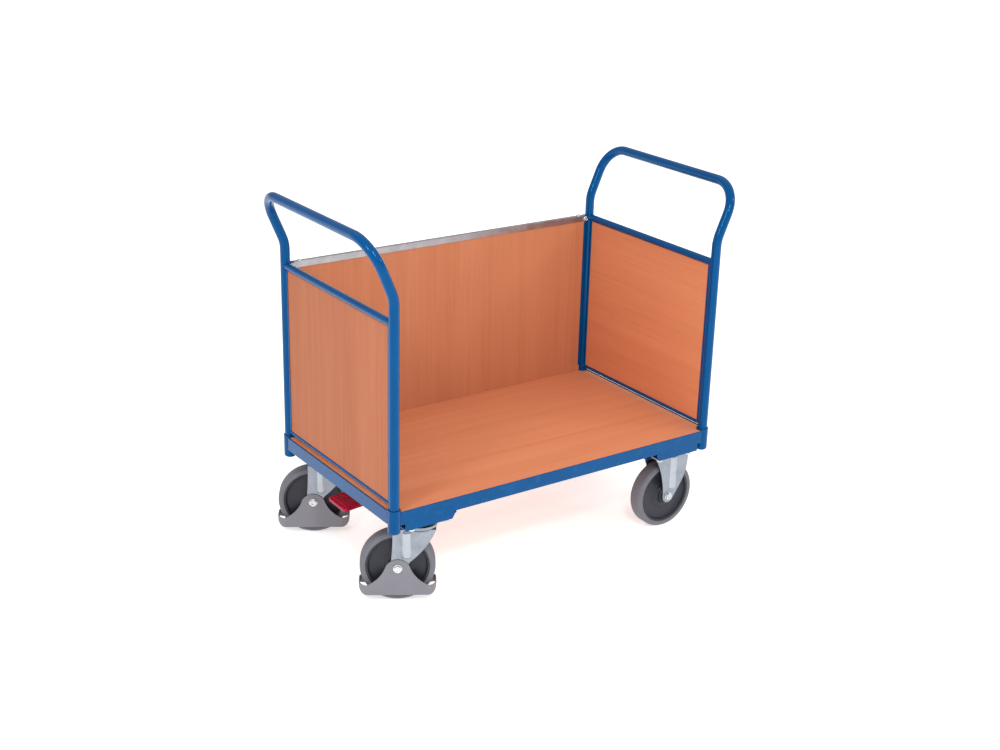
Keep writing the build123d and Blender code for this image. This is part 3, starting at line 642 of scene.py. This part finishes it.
for end in ("left", "right"):
    posts = ((middle("front_" + end + "_socket"), 1), (middle("back_" + end + "_socket"), -1))
    bm = bmesh.new()
    for bar in ("_top_bar", "_bottom_bar"):
        bar_low, bar_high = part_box(end + bar)
        ring_r = (bar_high.z - bar_low.z) / 2 + 0.4 * MM
        bar_z = (bar_high.z + bar_low.z) / 2
        for post, inward in posts:
            path = []
            for step in range(BAR_BEAD_STEPS):
                turn = 2 * math.pi * step / BAR_BEAD_STEPS
                x = ring_r * math.cos(turn)
                z = ring_r * math.sin(turn)
                y = math.sqrt(HOOP_RADIUS**2 - min(x * x, HOOP_RADIUS**2)) + 0.5 * MM
                path.append(Vector((post.x + x, post.y + inward * y, bar_z + z)))
            bead(bm, path, BAR_BEAD, True)
    piece(end + "_bar_welds", bm, BLUE, "trolley")

# ---- Weld beads at the corner sockets ----

SOCKET_BEAD = 1.7 * MM
SOCKET_BEAD_STEPS = 25
SOCKET_BEAD_START = 0.04  # share of the rail's height, the same at both ends

for front in ("front", "back"):
    for end in ("left", "right"):
        socket_low, socket_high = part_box(front + "_" + end + "_socket")
        post = (socket_low + socket_high) / 2
        rail_low, rail_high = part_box(front + "_rail")
        out_x = 1 if end == "right" else -1
        out_y = 1 if front == "back" else -1
        reach = (socket_high.x - socket_low.x) / 2
        face = abs((rail_high.y if out_y > 0 else rail_low.y) - post.y)
        offset = math.sqrt(reach**2 - face**2) + 0.6 * MM
        bm = bmesh.new()
        for dx, dy in ((-out_x * offset, out_y * face), (out_x * face, -out_y * offset)):
            path = []
            for step in range(SOCKET_BEAD_STEPS + 1):
                share = SOCKET_BEAD_START + (1 - 2 * SOCKET_BEAD_START) * step / SOCKET_BEAD_STEPS
                z = rail_low.z + (rail_high.z - rail_low.z) * share
                path.append(Vector((post.x + dx, post.y + dy, z)))
            bead(bm, path, SOCKET_BEAD, False)
        piece(front + "_" + end + "_socket_welds", bm, BLUE, "trolley")

# ---- Pressed ribs on the fork legs ----

RIB_HALF_WIDTH = 12.5
RIB_HEIGHT = 5.0
RIB_ROUND = 7.0
RIB_ROWS = 32
RIB_COLUMNS = 20
LEG_FACE = 33.9  # from the wheel's middle to a leg's outer face
# a rib's place ahead of the axle, and its ends above the axle
SWIVEL_RIB = (23.0, 28.0, 107.0)
FIXED_RIB = (14.0, 19.0, 126.0)


def pressed_rib(bm, foot, lead, out, low, high):
    """Smooth ridge on a leg's outer face, between two heights above the axle."""
    rows = []
    for step in range(RIB_ROWS + 1):
        along = low + (high - low) * (step / RIB_ROWS)
        end = min(along - low, high - along)
        fade = math.sqrt(1 - (1 - min(1.0, end / RIB_ROUND)) ** 2)
        row = []
        for column in range(RIB_COLUMNS + 1):
            u = column / (RIB_COLUMNS / 2) - 1
            rise = RIB_HEIGHT * (1 - abs(u) ** 3.2) * fade
            width = RIB_HALF_WIDTH * (0.35 + 0.65 * fade)
            at = foot + lead * (u * width * MM) + UP * (along * MM) + out * (rise * MM)
            row.append(bm.verts.new(at))
        rows.append(row)
    skin_rows(bm, rows)


for castor in SWIVELS + FIXED:
    hub, axis = wheel_place(castor)
    bm = bmesh.new()
    if castor in SWIVELS:
        lead = middle(castor + "_plate") - hub
        lead.z = 0
        lead.normalize()
        reach, rib_low, rib_high = SWIVEL_RIB
    else:
        lead = Vector((1, 0, 0))
        reach, rib_low, rib_high = FIXED_RIB
    for side in (-1, 1):
        foot = hub + lead * (reach * MM) + axis * (side * LEG_FACE * MM)
        pressed_rib(bm, foot, lead, axis * side, rib_low, rib_high)
    body = castor if castor in SWIVELS else "trolley"
    # the ribs take the lighter zinc copy, a painted highlight on the legs
    piece(castor + "_leg_ribs", bm, ZINC_RIB_PAINTED_LIGHT, body)

# ---- Castor plate bolts and nuts ----

HOLE_X = 52.5 * MM
HOLE_Y = 45.0 * MM
BOLT_ACROSS = 16.8
BOLT_RADIUS = 5.0
HEAD_DEPTH = 6.4

bolt_low, bolt_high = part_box("castor_bolts")
nut_low, nut_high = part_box("castor_nuts")
thread_end = (nut_high.z - bolt_low.z) / MM
head_top = (bolt_high.z - nut_high.z) / MM
head_base = head_top - HEAD_DEPTH
thread = [(BOLT_RADIUS, 7.4), (BOLT_RADIUS, thread_end - 0.7), (4.3, thread_end), (0, thread_end)]
bm = bmesh.new()
for castor in SWIVELS + FIXED:
    centre = middle(castor + ("_plate" if castor in SWIVELS else "_fork"))
    for side_x in (-1, 1):
        for side_y in (-1, 1):
            foot = Vector((centre.x + side_x * HOLE_X, centre.y + side_y * HOLE_Y, nut_high.z))
            lathe(bm, [(0, 0), (9.4, 0), (9.4, 0.8), (8.8, 1.2), (0, 1.2)], foot, -UP, 40)
            hexagon(bm, BOLT_ACROSS, 1.1, 7.9, foot, -UP)
            lathe(bm, thread, foot, -UP, 32)
            lathe(bm, [(BOLT_RADIUS, 0.0), (BOLT_RADIUS, head_base)], foot, UP, 24)
            hexagon(bm, BOLT_ACROSS, head_base, head_top, foot, UP)
fasteners = piece("castor_plate_fasteners", bm, ZINC_BRIGHT, "trolley")
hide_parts("castor_bolts", "castor_nuts")

# ---- Screws of the back wall ----

DOME_PROFILE = [
    (7.4, 0.0),
    (7.4, 0.9),
    (5.6, 1.0),
    (5.3, 1.9),
    (4.2, 3.1),
    (2.8, 3.8),
    (1.7, 4.0),
    (1.7, 2.0),
    (0, 2.0),
]
DOME_INSET = 18.0 * MM  # from the end of the top rail
FLANGE_INSET = 5.0 * MM  # from the outer side of the end channels
FLANGE_DROP = 11.0 * MM  # below the top rail's top
FRONT = Vector((0, -1, 0))

wall_low, wall_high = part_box("back_top_rail")
channel_low, channel_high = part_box("back_end_channels")
rail_middle = (wall_low + wall_high) / 2
dome_x = (wall_high.x - wall_low.x) / 2 - DOME_INSET
flange_x = (channel_high.x - channel_low.x) / 2 - FLANGE_INSET
bm = bmesh.new()
for end in (-1, 1):
    dome = Vector((rail_middle.x + end * dome_x, rail_middle.y, wall_high.z))
    lathe(bm, DOME_PROFILE, dome, UP, 40)
    flange = Vector((rail_middle.x + end * flange_x, wall_low.y, wall_high.z - FLANGE_DROP))
    lathe(bm, [(0, 0), (8.6, 0), (8.6, 0.9), (8.0, 1.4), (0, 1.4)], flange, FRONT, 40)
    hexagon(bm, 11.0, 1.3, 5.4, flange, FRONT, bore=3.2)
    lathe(bm, [(3.2, 5.4), (2.8, 4.4), (0, 4.2)], flange, FRONT, 32)
screws = piece("back_wall_screw_heads", bm, ZINC_BRIGHT, "trolley")
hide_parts("back_wall_screws")

# ---- Brake pedal ----

PEDAL_SLOPE = math.radians(5.0)
PEDAL_LENGTH = 66.0
PEDAL_HALF_WIDTH = 46.0
PEDAL_ROUND = 9.0
PEDAL_DEPTH = 9.0
# the slab's (inset, height) levels, from its under side over the rim to the sunk tread
PEDAL_LEVELS = (
    (1.2, -PEDAL_DEPTH),
    (0.3, -8.6),
    (0.0, -7.6),
    (0.0, -2.2),
    (0.5, -0.9),
    (1.6, -0.15),
    (3.0, 0.0),
    (4.2, -0.2),
    (5.4, -1.0),
    (7.0, -1.2),
)
RIDGES = 5
RIDGE_PITCH = 10.0
RIDGE_HALF_WIDTH = 2.3
RIDGE_END_INSET = 9.5
RIDGE_FOOT = -1.3
RIDGE_ROWS = 24
RIDGE_COLUMNS = 8


def rounded_outline(half_x, half_y, corner, inset, steps=8):
    """Points of a rounded rectangle that has shrunk by an inset."""
    corner = max(corner - inset, 0.8)
    points = []
    for quarter, (sx, sy) in enumerate(((1, 1), (-1, 1), (-1, -1), (1, -1))):
        cx = sx * (half_x - inset - corner)
        cy = sy * (half_y - inset - corner)
        for step in range(steps + 1):
            turn = math.radians(90 * (quarter + step / steps))
            points.append((cx + corner * math.cos(turn), cy + corner * math.sin(turn)))
    return points


pedal_low, pedal_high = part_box("brake_pedal")
tread_out = Vector((-math.cos(PEDAL_SLOPE), 0, -math.sin(PEDAL_SLOPE)))
tread_up = Vector((-math.sin(PEDAL_SLOPE), 0, math.cos(PEDAL_SLOPE)))
tread_side = Vector((0, 1, 0))
pedal_front = Vector((pedal_low.x, (pedal_low.y + pedal_high.y) / 2, 0))
# the lowest corner of the slab is its front edge on the under side
pedal_front.z = pedal_low.z + PEDAL_DEPTH * MM * math.cos(PEDAL_SLOPE)
pedal_middle = pedal_front - tread_out * (PEDAL_LENGTH / 2 * MM)


def on_pedal(out, across, height):
    """Point in the tread's own directions, in millimetres from its middle."""
    level = pedal_middle + tread_out * (out * MM) + tread_side * (across * MM)
    return level + tread_up * (height * MM)


bm = bmesh.new()
rings = []
for inset, height in PEDAL_LEVELS:
    outline = rounded_outline(PEDAL_LENGTH / 2, PEDAL_HALF_WIDTH, PEDAL_ROUND, inset)
    rings.append([bm.verts.new(on_pedal(out, across, height)) for out, across in outline])
for a, b in zip(rings, rings[1:]):
    for step in range(len(a)):
        after = (step + 1) % len(a)
        bm.faces.new((a[step], a[after], b[after], b[step]))
bm.faces.new(rings[0])
bm.faces.new(rings[-1])
for index in range(RIDGES):
    ridge_out = (index - (RIDGES - 1) / 2) * RIDGE_PITCH
    rows = []
    for step in range(RIDGE_ROWS + 1):
        way = step / RIDGE_ROWS * 2 - 1
        across = way * (PEDAL_HALF_WIDTH - RIDGE_END_INSET)
        swell = math.sqrt(1 - abs(way) ** 14)
        row = []
        for column in range(RIDGE_COLUMNS + 1):
            turn = math.pi * column / RIDGE_COLUMNS
            out = ridge_out + RIDGE_HALF_WIDTH * math.cos(turn)
            height = RIDGE_FOOT + (0.3 + 2.3 * swell) * math.sin(turn)
            row.append(bm.verts.new(on_pedal(out, across, height)))
        rows.append(row)
    skin_rows(bm, rows)
    bm.faces.new(rows[0])
    bm.faces.new(rows[-1])
pedal = piece("brake_pedal_shaped", bm, PEDAL, "brake")
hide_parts("brake_pedal")

# ---- Floor, lights and camera ----

FLOOR_SIZE = 400.0  # metres, far enough that its edge meets the world's pale horizon

bm = bmesh.new()
bmesh.ops.create_grid(bm, x_segments=1, y_segments=1, size=FLOOR_SIZE)
floor_mesh = bpy.data.meshes.new("floor")
bm.to_mesh(floor_mesh)
bm.free()
floor = bpy.data.objects.new("floor", floor_mesh)
bpy.context.scene.collection.objects.link(floor)
floor_mat, floor_tree, floor_shader, floor_place = start(
    "pale_floor",
    Specular_IOR_Level=0.2,
    Roughness=0.9,
    Emission_Color=rgb(1.0, 1.0, 1.0),
    Emission_Strength=0.5,
)
floor_cloud = noise(floor_tree, floor_place, 1.4)
floor_tone = mix(floor_tree, floor_cloud, rgb(0.93, 0.93, 0.93), rgb(0.95, 0.95, 0.95))
floor_tree.links.new(floor_tone, floor_shader.inputs["Base Color"])
floor.data.materials.append(floor_mat)

world = bpy.data.worlds.new("studio")
bpy.context.scene.world = world
world.use_nodes = True
world_tree = world.node_tree
background = world_tree.nodes["Background"]
background.inputs["Color"].default_value = rgb(1.0, 1.0, 1.0)
# brighter at the horizon than overhead
sky = add(world_tree, "TexCoord").outputs["Generated"]
sky_height = add(world_tree, "SeparateXYZ", {"Vector": sky}).outputs["Z"]
sky_strength = span(world_tree, sky_height, 0.03, 0.2, 1.1, 0.54)
world_tree.links.new(sky_strength, background.inputs["Strength"])


def lamp_object(name, lamp, direction):
    """An object for a lamp, turned to shine in a direction."""
    obj = bpy.data.objects.new(name, lamp)
    bpy.context.scene.collection.objects.link(obj)
    obj.rotation_mode = "QUATERNION"
    obj.rotation_quaternion = direction.to_track_quat("-Z", "Y")
    return obj


def area_light(name, location, target, size, size_y, power):
    """Soft rectangular lamp aimed at a point."""
    lamp = bpy.data.lights.new(name, "AREA")
    lamp.shape = "RECTANGLE"
    lamp.size = size
    lamp.size_y = size_y
    lamp.energy = power
    obj = lamp_object(name, lamp, Vector(target) - Vector(location))
    obj.location = location


def soft_sun(name, direction, strength, spread):
    """Very wide distant light, for an even floor with hardly any shadow edge."""
    lamp = bpy.data.lights.new(name, "SUN")
    lamp.energy = strength
    lamp.angle = math.radians(spread)
    lamp_object(name, lamp, Vector(direction))


soft_sun("sky_panel", (0.1, 0.25, -1.0), 1.1, 120)
area_light("key", (-1.4, -3.0, 3.2), (0.0, 0.0, 0.5), 0.6, 0.45, 38)
area_light("side", (2.9, -2.6, 2.6), (0.0, 0.0, 0.5), 0.4, 0.55, 16)
# the left and glint lamps draw the highlights along the hoops
area_light("left", (-2.6, -1.2, 2.4), (0.4, -0.1, 0.8), 0.45, 0.7, 20)
area_light("glint", (-1.4, -3.25, 2.5), (0.1, -0.2, 0.9), 0.1, 0.16, 14)

camera_data = bpy.data.cameras.new("camera")
camera = bpy.data.objects.new("camera", camera_data)
bpy.context.scene.collection.objects.link(camera)
bpy.context.scene.camera = camera
camera_data.sensor_width = 36.0
camera_data.lens = 54.56
camera_data.clip_start = 0.05
camera_data.clip_end = 1000.0
# yaw is from +Y towards +X, pitch is downwards
yaw = math.radians(35.084)
pitch = math.radians(20.857)
roll = math.radians(1.508)
level_x = math.sin(yaw) * math.cos(pitch)
level_y = math.cos(yaw) * math.cos(pitch)
forward = Vector((level_x, level_y, -math.sin(pitch)))
right = Vector((math.cos(yaw), -math.sin(yaw), 0.0))
up = right.cross(forward)
cam_x = right * math.cos(roll) + up * math.sin(roll)
cam_y = up * math.cos(roll) - right * math.sin(roll)
turned = Matrix((cam_x, cam_y, -forward)).transposed().to_4x4()
camera.matrix_world = Matrix.Translation((-2.2962, -3.2849, 1.9939)) @ turned

bpy.context.scene.view_settings.view_transform = "Standard"
